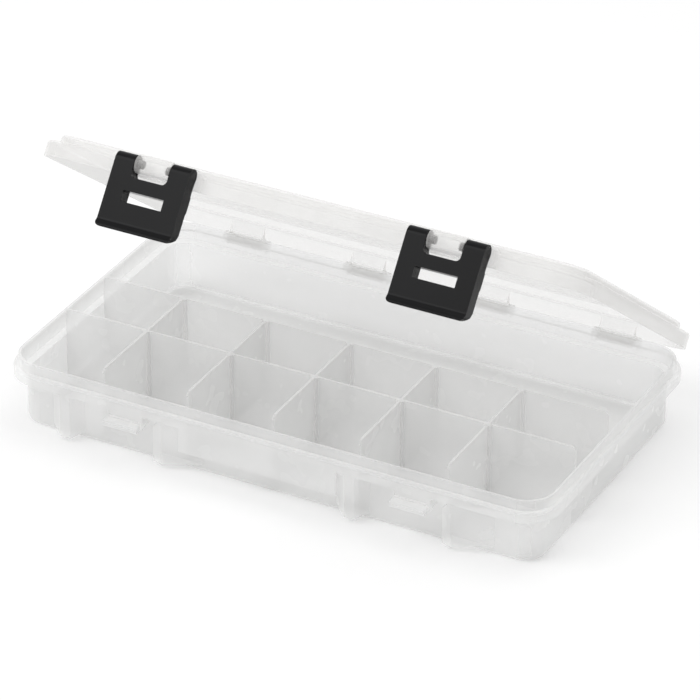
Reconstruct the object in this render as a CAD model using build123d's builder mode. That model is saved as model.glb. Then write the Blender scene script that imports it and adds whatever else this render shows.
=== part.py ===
"""Compartment tackle box, in millimetres.

An open tub with thirteen compartments carries a lid on a snap-on rear hinge.
Two latches turn on knuckles at the lid's front edge and hook under keepers
on the tub.  The lid is drawn part open, with its latches hanging square to it.

Frame: origin at the centre of the tub's underside, X to the right,
Y to the hinge side, Z up.
"""

import os

from build123d import *

# --- rim of the tub: the flange that the closed lid rests on -----------------
rim_length = 356.0
rim_depth = 204.0
rim_corner = 22.0
rim_out = 3.0          # flange beyond the lip
rim_under = 31.0       # underside of the flange
rim_thick = 6.6
rim_round = 1.4

# --- lip, ledge and walls ----------------------------------------------------
lip_height = 44.0
lip_wall = 2.0
lip_round = 0.7
ledge = 4.8            # inner step from the lip to the well
ledge_drop = 11.0      # lip top to the inner ledge
wall = 1.8
floor = 2.0
foot_round = 3.5
well_round = 2.0

# --- dividers ----------------------------------------------------------------
divider = 1.4
divider_rise = 6.4     # above the lip
divider_corner = 3.0
divider_root = 1.8     # moulded fillet where two dividers meet
columns = 6
front_row = 50.8       # clear depth of the front row
middle_row = 43.1      # clear depth of the second row

# --- lid ---------------------------------------------------------------------
lid_open = 37.0        # degrees from closed
lid_wall = 1.6
lid_gap = 0.4          # skirt above the flange
skirt = 9.6
panel_inset = 7.0
panel_rise = 5.0
skirt_round = 1.8
panel_round = 2.2

# --- rear hinge --------------------------------------------------------------
hinge_fit = 0.08
bar_radius = 2.0
barrel_radius = 4.0
barrel_gap = 0.4       # barrel to the flange's rear face
hinge_drop = 8.0       # hinge line below the lip
hook_width = 23.0
hook_side_gap = 0.5
lug = 3.0
lug_radius = 3.4
hook_mouth = 3.3
hinge_stations = (-126.0, -42.0, 42.0, 126.0)

# --- latches -----------------------------------------------------------------
latch_spacing = 188.0
latch_width = 49.0
ear_radius = 5.0
pivot_rise = 1.0       # pin line above the lip
pivot_gap = 0.4        # latch back to the tower's face
shell = 2.2
notch_width = 23.4
notch_drop = 9.0       # pin line to the notch floor
notch_corner = 3.0
window_width = 26.6
window_drop = 17.2     # pin line to the window's upper edge
window_height = 6.6
window_wall = 1.8
window_depth = 8.9     # front face to the back of the window's frame
crease_drop = 35.4
latch_drop = 40.8
lip_flare = 1.9
lip_thick = 2.4
latch_corner = 3.0
latch_edge = 0.9
tab_step = 0.8
tab_drop = 11.0
tab_height = 10.0
pin_radius = 2.5
pin_length = 3.7
pin_fit = 0.08
knuckle_radius = 5.5
knuckle_side_gap = 0.5
tower_width = 57.0
tower_proud = 1.0
tower_drop = 2.0       # below the panel's top
tower_corner = 6.0

# --- keepers -----------------------------------------------------------------
keeper_width = 25.6
nose_width = 22.3
nose_out = 5.0
nose_height = 3.4
nose_gap = 0.5         # latch bar to the underside of the nose
nose_round = 0.8
keeper_rise = 3.6      # the underside climbs towards the wall
keeper_wall = 1.8
keeper_recess = 0.8

# --- bumpers and grip on the front wall --------------------------------------
bumper_foot = 2.5
bumper_slope = 3.0
post_stations = (-133.9, 54.8)
post_face = 6.6
post_left = 9.0
post_right = 6.0
guard_stations = (-75.2, 113.4)
guard_face = 6.4
guard_back = 1.6
guard_tail = 24.0
guard_chamfer = 4.5
grip_left = -57.5
grip_right = 46.0
grip_height = 16.0
grip_wall = 1.6

# --- sizes that follow -------------------------------------------------------
front = -rim_depth / 2
back = rim_depth / 2
lip_length = rim_length - 2 * rim_out
lip_depth = rim_depth - 2 * rim_out
mouth_length = lip_length - 2 * lip_wall
mouth_depth = lip_depth - 2 * lip_wall
well_length = mouth_length - 2 * ledge
well_depth = mouth_depth - 2 * ledge
wall_length = well_length + 2 * wall
wall_depth = well_depth + 2 * wall
lip_corner = rim_corner - rim_out
mouth_corner = lip_corner - lip_wall
well_corner = mouth_corner - ledge
wall_corner = well_corner + wall
well_front = -well_depth / 2
wall_front = -wall_depth / 2
ledge_top = lip_height - ledge_drop
rim_top = rim_under + rim_thick
divider_top = lip_height + divider_rise

row_y = well_front + front_row + divider / 2
rear_y = row_y + middle_row + divider
cell = (well_length - (columns - 1) * divider) / columns
column_x = [-well_length / 2 + (i + 1) * cell + (i + 0.5) * divider for i in range(columns - 1)]

skirt_bottom = rim_top + lid_gap
skirt_top = skirt_bottom + skirt
panel_top = skirt_top + panel_rise
panel_length = rim_length - 2 * panel_inset
panel_depth = rim_depth - 2 * panel_inset
panel_corner = rim_corner - panel_inset

hinge_y = back + barrel_gap + barrel_radius
hinge_z = lip_height - hinge_drop
bay = hook_width + 2 * hook_side_gap

tower_face = front - tower_proud
tower_top = panel_top - tower_drop
pivot_y = tower_face - pivot_gap - ear_radius
pivot_z = lip_height + pivot_rise
latch_stations = {"latch_left": -latch_spacing / 2, "latch_right": latch_spacing / 2}
knuckle_width = notch_width - 2 * knuckle_side_gap
bore_depth = pin_length - knuckle_side_gap + 0.6
nose_under = pivot_z - window_drop - window_height + nose_gap
nose_front = front - nose_out
keeper_hollow = keeper_width - 2 * keeper_wall
grip_under = rim_under - grip_height

# The lid and its latches are drawn closed, then turned about the hinge line.
turn = Pos(0, hinge_y, hinge_z) * Rot(-lid_open, 0, 0) * Pos(0, -hinge_y, -hinge_z)
lid_up = Plane(turn).z_dir


def opened(plane):
    """The plane carried round with the open lid."""
    return Plane(turn * plane.location)


def lid_axis():
    """The lid's own upward direction, for choosing its edges."""
    return Axis((0, hinge_y, hinge_z), lid_up)


def save(piece, name):
    """Label one piece and write its STEP file."""
    piece.part.label = name
    export_step(piece.part, f"parts/{name}.step")


os.makedirs("parts", exist_ok=True)

# --- tub ---------------------------------------------------------------------
with BuildPart() as tub:
    # outside: well, flange and lip
    with BuildSketch():
        RectangleRounded(wall_length, wall_depth, wall_corner)
    extrude(amount=rim_under)
    fillet(tub.edges().group_by(Axis.Z)[0], foot_round)
    with BuildSketch(Plane.XY.offset(rim_under)):
        RectangleRounded(rim_length, rim_depth, rim_corner)
    extrude(amount=rim_thick)
    rim_edges = tub.edges().filter_by(lambda e: e.bounding_box().size.Z < 0.01)
    rim_edges = rim_edges.filter_by(lambda e: rim_under - 0.01 < e.center().Z)
    outer_rim = rim_edges.filter_by(
        lambda e: abs(e.center().X) > lip_length / 2 - rim_corner
        or abs(e.center().Y) > lip_depth / 2
    )
    fillet(outer_rim.group_by(Axis.Z)[-1], rim_round)
    with BuildSketch(Plane.XY.offset(rim_top)):
        RectangleRounded(lip_length, lip_depth, lip_corner)
    extrude(amount=lip_height - rim_top)

    # inside: the lip's mouth above the ledge, the well below it
    with BuildSketch(Plane.XY.offset(ledge_top)):
        RectangleRounded(mouth_length, mouth_depth, mouth_corner)
    extrude(amount=ledge_drop, mode=Mode.SUBTRACT)
    fillet(tub.edges().group_by(Axis.Z)[-1], lip_round)
    with BuildSketch(Plane.XY.offset(floor)):
        RectangleRounded(well_length, well_depth, well_corner)
    extrude(amount=ledge_top - floor, mode=Mode.SUBTRACT)
    well_floor = tub.faces().filter_by(Plane.XY).group_by(Axis.Z)[1]
    fillet(well_floor.edges(), well_round)

    # narrow bumper posts
    for x in post_stations:
        with BuildSketch(Plane.XY.offset(bumper_foot)):
            with BuildLine():
                Polyline(
                    (x - post_face / 2 - post_left, wall_front + wall / 2),
                    (x - post_face / 2 - post_left, wall_front),
                    (x - post_face / 2, front),
                    (x + post_face / 2, front),
                    (x + post_face / 2 + post_right, wall_front),
                    (x + post_face / 2 + post_right, wall_front + wall / 2),
                    close=True,
                )
            make_face()
        extrude(amount=rim_under - bumper_foot)

    # guards with a long tail on their right
    for x in guard_stations:
        with BuildSketch(Plane.XY.offset(bumper_foot)):
            with BuildLine():
                Polyline(
                    (x, wall_front + wall / 2),
                    (x, front + guard_back),
                    (x + guard_face, front),
                    (x + guard_face + guard_tail, wall_front),
                    (x + guard_face + guard_tail, wall_front + wall / 2),
                    close=True,
                )
            make_face()
        extrude(amount=rim_under - bumper_foot)
        with BuildSketch(Plane.XZ.offset(-front)):
            with BuildLine():
                Polyline(
                    (x - 1, rim_under),
                    (x - 1, rim_under - guard_chamfer - 1),
                    (x + guard_chamfer, rim_under),
                    close=True,
                )
            make_face()
        extrude(amount=wall_front - front, both=True, mode=Mode.SUBTRACT)

    # their undersides climb towards the wall
    with BuildSketch(Plane.YZ.offset(-lip_length / 2)):
        with BuildLine():
            Polyline(
                (front - 1, bumper_foot - 1),
                (front - 1, bumper_foot),
                (front, bumper_foot),
                (wall_front, bumper_foot + bumper_slope),
                (wall_front, bumper_foot - 1),
                close=True,
            )
        make_face()
    extrude(amount=lip_length, mode=Mode.SUBTRACT)

    # grip: a panel flush with the flange, open behind and below
    with BuildSketch(Plane.XY.offset(grip_under)):
        with Locations(((grip_left + grip_right) / 2, front + grip_wall / 2)):
            Rectangle(grip_right - grip_left, grip_wall)
    extrude(amount=grip_height)

    # keepers: nose, face and two gussets
    for x in latch_stations.values():
        with BuildSketch(Plane.YZ.offset(x)):
            with BuildLine():
                Polyline(
                    (wall_front + wall / 2, rim_under),
                    (front, rim_under),
                    (front, nose_under + 1),
                    (wall_front + wall / 2, nose_under + keeper_rise),
                    close=True,
                )
            make_face()
        extrude(amount=keeper_width / 2, both=True)
        with BuildSketch(Plane.YZ.offset(x)):
            with BuildLine():
                Polyline(
                    (front + keeper_wall, nose_under + nose_height + 0.8),
                    (front, nose_under + nose_height + 0.8),
                    (nose_front, nose_under + nose_height),
                    (nose_front, nose_under),
                    (front, nose_under + 1),
                    (front + keeper_wall, nose_under + 1.2),
                    close=True,
                )
            make_face()
        extrude(amount=nose_width / 2, both=True)
        nose_edges = tub.edges().filter_by(Axis.X).filter_by(
            lambda e: e.center().Y < nose_front + 0.01
        )
        fillet(nose_edges, nose_round)
        with BuildSketch(Plane.XY.offset(rim_under)):
            with Locations((x, (front + keeper_wall + wall_front) / 2)):
                Rectangle(keeper_hollow, wall_front - front - keeper_wall)
        extrude(amount=-(rim_under - nose_under), mode=Mode.SUBTRACT)
        with BuildSketch(Plane.XZ.offset(-front)):
            with Locations((x, (rim_under + nose_under + nose_height + 0.8) / 2)):
                Rectangle(nose_width - 1.5, rim_under - nose_under - nose_height - 2.4)
        extrude(amount=-keeper_recess, mode=Mode.SUBTRACT)

    # hinge: pairs of lugs with a moulded bar between them
    for x in hinge_stations:
        for side in (-1, 1):
            with BuildSketch(Plane.YZ.offset(x + side * (bay + lug) / 2)):
                with BuildLine():
                    Polyline(
                        (back - rim_out, rim_under + rim_round),
                        (back, rim_under + rim_round),
                        (hinge_y, hinge_z - lug_radius),
                        (hinge_y, hinge_z + lug_radius),
                        (back, rim_top - rim_round),
                        (back - rim_out, rim_top - rim_round),
                        close=True,
                    )
                make_face()
                with Locations((hinge_y, hinge_z)):
                    Circle(lug_radius)
            extrude(amount=lug / 2, both=True)
        with BuildSketch(Plane.YZ.offset(x)):
            with Locations((hinge_y, hinge_z)):
                Circle(bar_radius)
        extrude(amount=bay / 2, both=True)
save(tub, "tub")

# --- long dividers -----------------------------------------------------------
for name, y in (("row_divider", row_y), ("rear_divider", rear_y)):
    with BuildPart() as long_divider:
        with BuildSketch(Plane.XZ.offset(-y)):
            with Locations((0, (divider_top + floor) / 2)):
                Rectangle(well_length, divider_top - floor)
            fillet(vertices().group_by(Axis.Y)[-1], divider_corner)
            fillet(vertices().group_by(Axis.Y)[0], well_round + 0.2)
        extrude(amount=divider / 2, both=True)
    save(long_divider, name)

# --- short dividers: front row and second row --------------------------------
rows = (
    ("front_divider", well_front, row_y - divider / 2),
    ("middle_divider", row_y + divider / 2, rear_y - divider / 2),
)
for row, y_from, y_to in rows:
    for number, x in enumerate(column_x, start=1):
        with BuildPart() as short_divider:
            with BuildSketch(Plane.XY.offset(floor)):
                with Locations((x, (y_from + y_to) / 2)):
                    Rectangle(divider, y_to - y_from)
                with BuildLine():
                    far = Line(
                        (x - divider / 2 - divider_root, y_to),
                        (x + divider / 2 + divider_root, y_to),
                    )
                    RadiusArc(far @ 1, (x + divider / 2, y_to - divider_root), divider_root)
                    Line((x + divider / 2, y_to - divider_root),
                         (x - divider / 2, y_to - divider_root))
                    RadiusArc((x - divider / 2, y_to - divider_root), far @ 0, divider_root)
                make_face()
            extrude(amount=divider_top - floor)
            if row == "front_divider":
                ends = short_divider.edges().filter_by(Axis.X).group_by(Axis.Y)[0]
                fillet(ends.group_by(Axis.Z)[-1], divider_corner)
                ends = short_divider.edges().filter_by(Axis.X).group_by(Axis.Y)[0]
                fillet(ends.group_by(Axis.Z)[0], well_round + 0.2)
        save(short_divider, f"{row}_{number}")

# --- lid ---------------------------------------------------------------------
with BuildPart() as lid:
    # outside: skirt, raised panel and the two latch towers
    with BuildSketch(opened(Plane.XY.offset(skirt_bottom))):
        RectangleRounded(rim_length, rim_depth, rim_corner)
    extrude(amount=skirt)
    fillet(lid.edges().group_by(lid_axis())[-1], skirt_round)
    with BuildSketch(opened(Plane.XY.offset(skirt_top - skirt_round))):
        RectangleRounded(panel_length, panel_depth, panel_corner)
    extrude(amount=panel_rise + skirt_round)
    fillet(lid.edges().group_by(lid_axis())[-1], panel_round)
    for x in latch_stations.values():
        with BuildSketch(opened(Plane.XZ.offset(-tower_face))):
            with Locations((x, (skirt_bottom + tower_top) / 2)):
                Rectangle(tower_width, tower_top - skirt_bottom)
            fillet(vertices().group_by(Axis.Y)[-1], tower_corner)
        extrude(amount=-(panel_inset + tower_proud + panel_round))

    # inside: one wall thickness all round
    with BuildSketch(opened(Plane.XY.offset(skirt_bottom))):
        RectangleRounded(
            rim_length - 2 * lid_wall, rim_depth - 2 * lid_wall, rim_corner - lid_wall
        )
    extrude(amount=skirt - lid_wall, mode=Mode.SUBTRACT)
    with BuildSketch(opened(Plane.XY.offset(skirt_bottom))):
        RectangleRounded(
            panel_length - 2 * lid_wall, panel_depth - 2 * lid_wall, panel_corner - lid_wall
        )
    extrude(amount=panel_top - lid_wall - skirt_bottom, mode=Mode.SUBTRACT)
    for x in latch_stations.values():
        with BuildSketch(opened(Plane.XZ.offset(-tower_face - lid_wall))):
            with Locations((x, (skirt_bottom + tower_top - lid_wall) / 2)):
                Rectangle(tower_width - 2 * lid_wall, tower_top - lid_wall - skirt_bottom)
            fillet(vertices().group_by(Axis.Y)[-1], tower_corner - lid_wall)
        extrude(amount=-(panel_inset + tower_proud), mode=Mode.SUBTRACT)

    # knuckles with a blind bore at each end
    for x in latch_stations.values():
        with BuildSketch(opened(Plane.YZ.offset(x))):
            with Locations((pivot_y, pivot_z)):
                Circle(knuckle_radius)
            with Locations(((pivot_y + tower_face + 0.4) / 2, pivot_z)):
                Rectangle(tower_face + 0.4 - pivot_y, 2 * knuckle_radius)
        extrude(amount=knuckle_width / 2, both=True)
        for side in (-1, 1):
            end = x + side * knuckle_width / 2
            with BuildSketch(opened(Plane.YZ.offset(end))):
                with Locations((pivot_y, pivot_z)):
                    Circle(pin_radius + pin_fit)
            extrude(amount=-side * bore_depth, mode=Mode.SUBTRACT)

    # hooks that snap over the tub's hinge bars
    for x in hinge_stations:
        with BuildSketch(opened(Plane.YZ.offset(x))):
            with Locations((hinge_y, hinge_z)):
                Circle(barrel_radius)
            with BuildLine():
                Polyline(
                    (back - lid_wall / 2, skirt_bottom + 0.6),
                    (back, skirt_bottom + 0.6),
                    (hinge_y - barrel_radius * 0.8, hinge_z + barrel_radius * 0.6),
                    (hinge_y, hinge_z + barrel_radius),
                    (back, skirt_top - skirt_round),
                    (back - lid_wall / 2, skirt_top - skirt_round),
                    close=True,
                )
            make_face()
            with Locations((hinge_y, hinge_z)):
                Circle(bar_radius + hinge_fit, mode=Mode.SUBTRACT)
            with Locations(Location((hinge_y, hinge_z), -60)):
                Rectangle(
                    2 * barrel_radius, hook_mouth,
                    align=(Align.MIN, Align.CENTER), mode=Mode.SUBTRACT,
                )
        extrude(amount=hook_width / 2, both=True)
save(lid, "lid")

# --- latches -----------------------------------------------------------------
for name, x in latch_stations.items():
    face = pivot_y - ear_radius
    rear = pivot_y + ear_radius
    bottom = pivot_z - latch_drop
    crease = pivot_z - crease_drop
    window_top = pivot_z - window_drop
    window_foot = window_top - window_height
    inside = latch_width - 2 * shell
    frame_width = window_width + 2 * window_wall
    notch_floor = pivot_z - notch_drop
    with BuildPart() as latch:
        # side profile: round ears, flat face, thumb lip flared at the foot
        with BuildSketch(opened(Plane.YZ.offset(x))):
            with BuildLine():
                top = CenterArc((pivot_y, pivot_z), ear_radius, 0, 180)
                Line((face, pivot_z), (face, crease))
                lip = Spline(
                    (face, crease),
                    (face - lip_flare * 0.55, (crease + bottom) / 2),
                    (face - lip_flare, bottom + 0.6),
                    tangents=((0, -1), (-0.25, -1)),
                )
                Polyline(
                    (face - lip_flare, bottom + 0.6),
                    (face - lip_flare + 0.6, bottom),
                    (face - lip_flare + lip_thick, bottom),
                    (rear - tab_step - 2.0, bottom + 3.4),
                    (rear - tab_step, bottom + 6.4),
                    (rear - tab_step, pivot_z - tab_drop - tab_height),
                    (rear, pivot_z - tab_drop - tab_height),
                    (rear, pivot_z - tab_drop),
                    (rear - tab_step, pivot_z - tab_drop),
                    (rear - tab_step, pivot_z - ear_radius),
                    (rear, pivot_z),
                )
            make_face()
        extrude(amount=latch_width / 2, both=True)

        # front outline: rounded lower corners
        with BuildSketch(opened(Plane.XZ.offset(-rear))):
            with Locations((x, pivot_z + ear_radius)):
                Rectangle(
                    latch_width, latch_drop + ear_radius, align=(Align.CENTER, Align.MAX)
                )
            fillet(vertices().group_by(Axis.Y)[0], latch_corner)
        extrude(amount=4 * ear_radius, mode=Mode.INTERSECT)

        # notch for the knuckle
        with BuildSketch(opened(Plane.XZ.offset(-rear))):
            with Locations((x, notch_floor)):
                Rectangle(
                    notch_width, notch_drop + 2 * ear_radius, align=(Align.CENTER, Align.MIN)
                )
            fillet(vertices().group_by(Axis.Y)[0], notch_corner)
        extrude(amount=4 * ear_radius, both=True, mode=Mode.SUBTRACT)

        # hollow back: foot, band above the window and the two flanks
        with BuildSketch(opened(Plane.XZ.offset(-face - shell))):
            with Locations((x, bottom + lip_thick)):
                Rectangle(
                    inside, window_foot - window_wall - bottom - lip_thick,
                    align=(Align.CENTER, Align.MIN),
                )
            fillet(vertices().group_by(Axis.Y)[0], latch_corner - 1)
            with Locations((x, window_top + window_wall)):
                Rectangle(
                    frame_width, notch_floor - window_top - 2 * window_wall,
                    align=(Align.CENTER, Align.MIN),
                )
            for side in (-1, 1):
                with Locations((x + side * (inside + frame_width) / 4, window_foot - window_wall)):
                    Rectangle(
                        (inside - frame_width) / 2,
                        pivot_z - window_foot + window_wall,
                        align=(Align.CENTER, Align.MIN),
                    )
        extrude(amount=-2 * ear_radius, mode=Mode.SUBTRACT)
        for side in (-1, 1):
            with BuildSketch(opened(Plane.YZ.offset(x + side * (inside + frame_width) / 4))):
                with Locations((pivot_y, pivot_z)):
                    Circle(ear_radius - shell)
                    Rectangle(
                        2 * ear_radius, ear_radius - shell, align=(Align.MIN, Align.MIN)
                    )
            extrude(amount=(inside - frame_width) / 4, both=True, mode=Mode.SUBTRACT)

        # window for the keeper's nose, and its frame cut short of the flange
        with BuildSketch(opened(Plane.XZ.offset(-rear))):
            with Locations((x, (window_top + window_foot) / 2)):
                Rectangle(window_width, window_height)
        extrude(amount=4 * ear_radius, both=True, mode=Mode.SUBTRACT)
        with BuildSketch(opened(Plane.XZ.offset(-face - window_depth))):
            with Locations((x, (bottom + notch_floor) / 2)):
                Rectangle(inside, notch_floor - bottom + 1)
        extrude(amount=-2 * ear_radius, mode=Mode.SUBTRACT)

        # stub pins that run in the knuckle's bores
        for side in (-1, 1):
            with BuildSketch(opened(Plane.YZ.offset(x + side * notch_width / 2))):
                with Locations((pivot_y, pivot_z)):
                    Circle(pin_radius)
            extrude(amount=-side * pin_length)
    save(latch, name)
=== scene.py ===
"""Finishes, light and camera for a shallow see-through tackle box with its lid part open."""

import math
from typing import NamedTuple

import bpy
from mathutils import Matrix, Vector

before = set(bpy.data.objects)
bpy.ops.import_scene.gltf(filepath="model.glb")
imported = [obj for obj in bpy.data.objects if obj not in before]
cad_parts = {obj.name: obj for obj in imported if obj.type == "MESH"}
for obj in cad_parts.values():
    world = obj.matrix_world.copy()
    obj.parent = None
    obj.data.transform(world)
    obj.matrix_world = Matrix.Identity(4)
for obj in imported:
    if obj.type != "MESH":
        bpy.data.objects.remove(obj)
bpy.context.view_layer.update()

# Studio. Lengths are metres, lamp levels are watts.
AMBIENT = 0.58              # what the white world gives to surfaces
BACKDROP = 1.0              # how bright it is where it is seen, mirrored or seen through
FLOOR_SIZE = 14.0
FLOOR_DROP = 0.0002         # keeps the floor just clear of the box's underside
FLOOR_WHITE = (0.93, 0.93, 0.93, 1)
FLOOR_GLOW = 0.08           # lifts the far floor to the white of the backdrop
LIGHT_AIM = (0, 0, 0.05)

# Camera: where it stands, what it looks at, its roll and its lens.
CAMERA_PLACE = Vector((1.0913, -2.0986, 1.4232))
CAMERA_AIM = Vector((-0.0008, 0.0048, 0.0444))
CAMERA_ROLL = math.radians(0.45)
LENS_MM = 238.6
SENSOR_MM = 36.0
CLIP_END = 50.0

SEE_THROUGH_LAYERS = 64     # walls that one line of sight may pass through


# ---------------------------------------------------------------- shader maths

class Flow:
    """A number that varies over a surface, so that finishes can be written as plain sums."""

    def __init__(self, graph, socket):
        self.graph, self.socket = graph, socket

    def maths(self, operation, *parts):
        node = self.graph.node("Math", {"operation": operation}, dict(enumerate(parts)))
        return Flow(self.graph, node.outputs[0])

    def __add__(self, other):
        return self.maths("ADD", self, other)

    def __radd__(self, other):
        return self.maths("ADD", other, self)

    def __mul__(self, other):
        return self.maths("MULTIPLY", self, other)

    def __rmul__(self, other):
        return self.maths("MULTIPLY", other, self)

    def clipped(self):
        return self.maths("MINIMUM", self.maths("MAXIMUM", self, 0.0), 1.0)


class Graph:
    """A node tree whose nodes are made from a type, its settings and its sockets' values."""

    def __init__(self, tree):
        self.tree = tree

    def node(self, kind, settings=None, sockets=None):
        node = self.tree.nodes.new("ShaderNode" + kind)
        for name, value in (settings or {}).items():
            setattr(node, name, value)
        for name, value in (sockets or {}).items():
            self.plug(node.inputs[name], value)
        return node

    def plug(self, socket, value):
        if isinstance(value, Flow):
            value = value.socket
        if isinstance(value, bpy.types.NodeSocket):
            self.tree.links.new(value, socket)
        else:
            socket.default_value = value

    def ray(self, name):
        """1 where light travels on a ray of this kind, and 0 elsewhere."""
        return Flow(self, self.node("LightPath").outputs[name])


class Finish(Graph):
    """A Principled shader and the nodes that vary it."""

    def __init__(self, name, **fixed):
        self.material = bpy.data.materials.new(name)
        self.material.use_nodes = True
        super().__init__(self.material.node_tree)
        self.shader = self.tree.nodes["Principled BSDF"]
        for socket, value in fixed.items():
            self.vary(socket.replace("_", " "), value)

    def vary(self, socket, value):
        self.plug(self.shader.inputs[socket], value)

    def noise(self, scale, detail):
        place = self.node("TexCoord").outputs["Object"]
        cloud = self.node("TexNoise", None, {"Vector": place, "Scale": scale, "Detail": detail})
        return Flow(self, cloud.outputs["Fac"])

    def colours(self, factor, first, second):
        mix = self.node("Mix", {"data_type": "RGBA"}, {0: factor, 6: first, 7: second})
        return mix.outputs[2]

    def edge_on(self):
        """0 where a wall is seen square on, up to 1 where it is seen along its face."""
        return Flow(self, self.node("LayerWeight", None, {"Blend": 0.5}).outputs["Facing"])

    def raise_skin(self, height, distance, strength):
        sockets = {"Height": height, "Distance": distance, "Strength": strength}
        self.vary("Normal", self.node("Bump", None, sockets).outputs[0])


# ---------------------------------------------------------------- finishes

class Skin(NamedTuple):
    """The numbers of one moulded plastic."""
    name: str
    ior: float
    sheen: float                # the shader's specular level
    dark: tuple
    light: tuple
    cloud_scale: float          # slow change between the two shades
    cloud_detail: float
    gloss: float                # roughness at its least
    scuff: float                # what the grain adds to it
    grain_scale: float
    peel_scale: float           # fine waviness of the skin
    peel_depth: float
    peel_strength: float
    opacity: float = 1.0        # square on
    edge_opacity: float = 0.0   # added where the wall is seen edge on


GRAIN_DETAIL = 2.0
PEEL_DETAIL = 1.0

MILKY_TUB = Skin(
    name="milky_polypropylene", ior=1.49, sheen=0.45,
    dark=(0.93, 0.93, 0.925, 1), light=(0.97, 0.97, 0.965, 1),
    cloud_scale=9.0, cloud_detail=1.0,
    gloss=0.20, scuff=0.12, grain_scale=55.0,
    peel_scale=160.0, peel_depth=0.0002, peel_strength=0.12,
    opacity=0.20, edge_opacity=0.36,
)
CLEAR_LID = Skin(
    name="clear_polypropylene", ior=1.49, sheen=0.5,
    dark=(0.87, 0.86, 0.845, 1), light=(0.91, 0.90, 0.885, 1),
    cloud_scale=7.0, cloud_detail=1.0,
    gloss=0.12, scuff=0.10, grain_scale=60.0,
    peel_scale=90.0, peel_depth=0.0002, peel_strength=0.10,
    opacity=0.18, edge_opacity=0.30,
)
BLACK_LATCH = Skin(
    name="gloss_black_plastic", ior=1.5, sheen=0.09,
    dark=(0.005, 0.005, 0.0055, 1), light=(0.009, 0.009, 0.0095, 1),
    cloud_scale=60.0, cloud_detail=2.0,
    gloss=0.18, scuff=0.10, grain_scale=60.0,
    peel_scale=500.0, peel_depth=0.0001, peel_strength=0.08,
)


def moulded(skin):
    """A moulded plastic: two close shades, a light grain in its gloss, and a faint peel."""
    finish = Finish(skin.name, IOR=skin.ior, Specular_IOR_Level=skin.sheen)
    cloud = finish.noise(skin.cloud_scale, skin.cloud_detail)
    finish.vary("Base Color", finish.colours(cloud, skin.dark, skin.light))
    if skin.edge_opacity:
        finish.vary("Alpha", (skin.opacity + finish.edge_on() * skin.edge_opacity).clipped())
    finish.vary("Roughness", skin.gloss + finish.noise(skin.grain_scale, GRAIN_DETAIL) * skin.scuff)
    peel = finish.noise(skin.peel_scale, PEEL_DETAIL)
    finish.raise_skin(peel, skin.peel_depth, skin.peel_strength)
    return finish.material


def dress_pieces():
    tub_skin, lid_skin, latch_skin = moulded(MILKY_TUB), moulded(CLEAR_LID), moulded(BLACK_LATCH)
    for name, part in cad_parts.items():
        part.data.materials.clear()
        skin = lid_skin if name == "lid" else latch_skin if name.startswith("latch") else tub_skin
        part.data.materials.append(skin)


# ---------------------------------------------------------------- studio

def white_studio():
    """A white world that lights softly, and is plain white where it is seen, mirrored or seen through."""
    world = bpy.data.worlds.new("studio")
    bpy.context.scene.world = world
    world.use_nodes = True
    studio = Graph(world.node_tree)
    sky = studio.tree.nodes["Background"]
    sky.inputs["Color"].default_value = (1, 1, 1, 1)
    seen = studio.ray("Is Camera Ray")
    for kind in ("Is Glossy Ray", "Is Transmission Ray"):
        seen = seen.maths("MAXIMUM", seen, studio.ray(kind))
    studio.plug(sky.inputs["Strength"], AMBIENT + seen * (BACKDROP - AMBIENT))


def soft_box(name, place, size, watts):
    lamp = bpy.data.lights.new(name, "AREA")
    lamp.shape, lamp.size, lamp.size_y, lamp.energy = "RECTANGLE", size[0], size[1], watts
    holder = bpy.data.objects.new(name, lamp)
    bpy.context.scene.collection.objects.link(holder)
    holder.location = place
    holder.rotation_euler = (Vector(LIGHT_AIM) - Vector(place)).to_track_quat("-Z", "Y").to_euler()


def pale_floor():
    """A pale floor that keeps the box's soft shadow and fades into the white behind."""
    bpy.ops.mesh.primitive_plane_add(size=FLOOR_SIZE, location=(0, 0, -FLOOR_DROP))
    floor = bpy.context.object
    floor.name = "floor"
    paint = Finish("pale_floor", Roughness=0.9, Specular_IOR_Level=0.1, Emission_Strength=1.0)
    paint.vary("Base Color", FLOOR_WHITE)
    seen = paint.ray("Is Camera Ray") + paint.ray("Is Glossy Ray")
    paint.vary("Emission Color", seen * FLOOR_GLOW)
    floor.data.materials.append(paint.material)


def camera():
    lens = bpy.data.cameras.new("camera")
    lens.lens, lens.sensor_width, lens.clip_end = LENS_MM, SENSOR_MM, CLIP_END
    holder = bpy.data.objects.new("camera", lens)
    bpy.context.scene.collection.objects.link(holder)
    look = (CAMERA_AIM - CAMERA_PLACE).to_track_quat("-Z", "Y").to_matrix().to_4x4()
    holder.matrix_world = Matrix.Translation(CAMERA_PLACE) @ look @ Matrix.Rotation(CAMERA_ROLL, 4, "Z")
    bpy.context.scene.camera = holder


dress_pieces()
white_studio()
pale_floor()
soft_box("key_light", (-1.1, -1.2, 1.9), size=(1.3, 1.3), watts=18)
soft_box("top_light", (0.3, 0.6, 2.1), size=(1.6, 1.2), watts=14)
camera()
bpy.context.scene.cycles.transparent_max_bounces = SEE_THROUGH_LAYERS
bpy.context.scene.view_settings.view_transform = "Standard"
